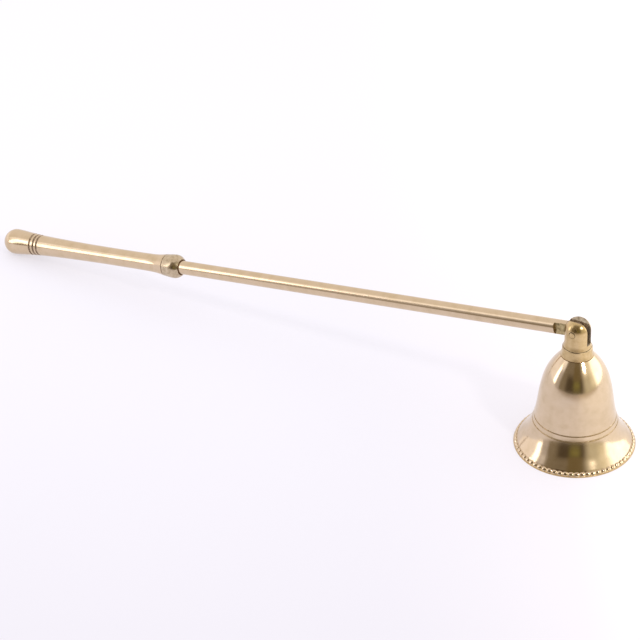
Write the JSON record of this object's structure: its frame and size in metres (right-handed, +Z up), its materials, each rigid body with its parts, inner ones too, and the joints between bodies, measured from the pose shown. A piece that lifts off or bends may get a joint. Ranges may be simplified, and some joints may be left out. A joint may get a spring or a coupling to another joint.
{
  "type": "candle snuffer",
  "caption": "Hinged brass candle snuffer: a flared bell with a beaded rim swings on a pin at the end of a slim rod with a turned handle.",
  "frame": {"origin": "centre of the whole snuffer's footprint, on the surface that it lies on", "axes": "+X along the snuffer from the handle to the bell, +Y along the hinge pin, +Z up along the bell's axis"},
  "size_m": [0.3248, 0.0508, 0.0612],
  "materials": {
    "polished_brass": "hand polished, pale gold, with fine turning lines",
    "plain_brass": "dull, unpolished"
  },
  "bodies": {
    "handle": {"rod": "polished_brass", "handle_ferrule": "polished_brass", "handle_grip": "polished_brass"},
    "bell_head": {"bell": "polished_brass", "crown_collar": "polished_brass", "hinge_clevis": "polished_brass", "crown_washer": "plain_brass", "crown_nut": "plain_brass", "hinge_pin": "polished_brass"}
  },
  "joints": [
    {"name": "bell_hinge", "type": "hinge", "parent": "handle", "child": "bell_head", "pos_m": [0.13697, 0, 0.0564], "axis": [0, 1, 0], "range_deg": [-212, 12]}
  ]
}
